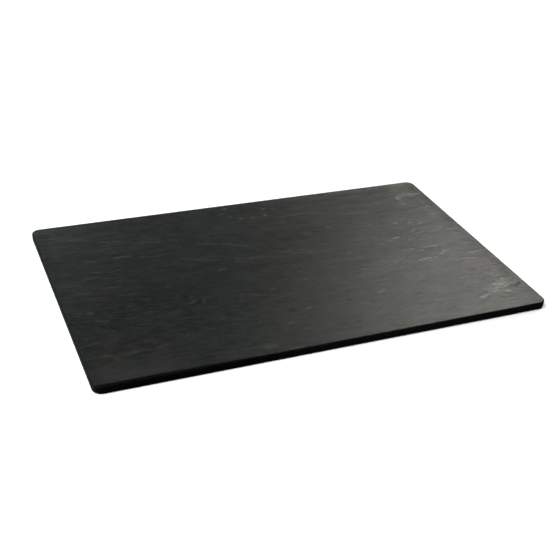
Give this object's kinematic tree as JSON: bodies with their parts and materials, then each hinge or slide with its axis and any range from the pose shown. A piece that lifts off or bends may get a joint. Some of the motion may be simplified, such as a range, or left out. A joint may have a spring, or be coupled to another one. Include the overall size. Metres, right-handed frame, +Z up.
{
  "type": "serving board",
  "caption": "Flat rectangular slate-look melamine serving board, hollow underneath, with a turned-down rim and anti-slip feet.",
  "frame": {"origin": "centre of the board's outline, in the plane that the feet rest on", "axes": "+X along the long side, +Y from the front long side to the back one, +Z up, square to the serving face"},
  "size_m": [0.53, 0.325, 0.01],
  "materials": {
    "melamine": "satin black with a riven slate texture",
    "silicone": "matte black"
  },
  "bodies": {
    "root": {"melamine_board": "melamine", "foot_front_left": "silicone", "foot_front_right": "silicone", "foot_back_left": "silicone", "foot_back_right": "silicone"}
  },
  "joints": []
}
